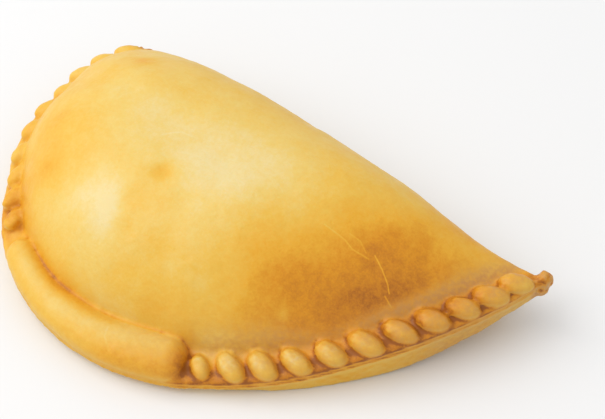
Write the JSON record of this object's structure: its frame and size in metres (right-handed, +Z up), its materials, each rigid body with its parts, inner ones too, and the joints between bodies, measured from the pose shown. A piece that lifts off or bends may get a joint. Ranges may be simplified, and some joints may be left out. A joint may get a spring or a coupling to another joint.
{
  "type": "savoury hand pie",
  "caption": "Baked half-moon hand pie with a domed crust, a crimped seam of plump beads, a smooth folded roll at the front and two pinched tips.",
  "frame": {"origin": "middle of the pie's box, on the surface it lies on", "axes": "+X along the fold, from the blunt tip to the sharp tip; -Y from the fold to the crimped seam; +Z up"},
  "size_m": [0.1516, 0.0938, 0.0373],
  "materials": {
    "crust": "baked dough with a thin egg glaze: pale yellow on top, browned at the flank, the crimp and the tips"
  },
  "bodies": {
    "root": {"pie": "crust"}
  },
  "joints": []
}
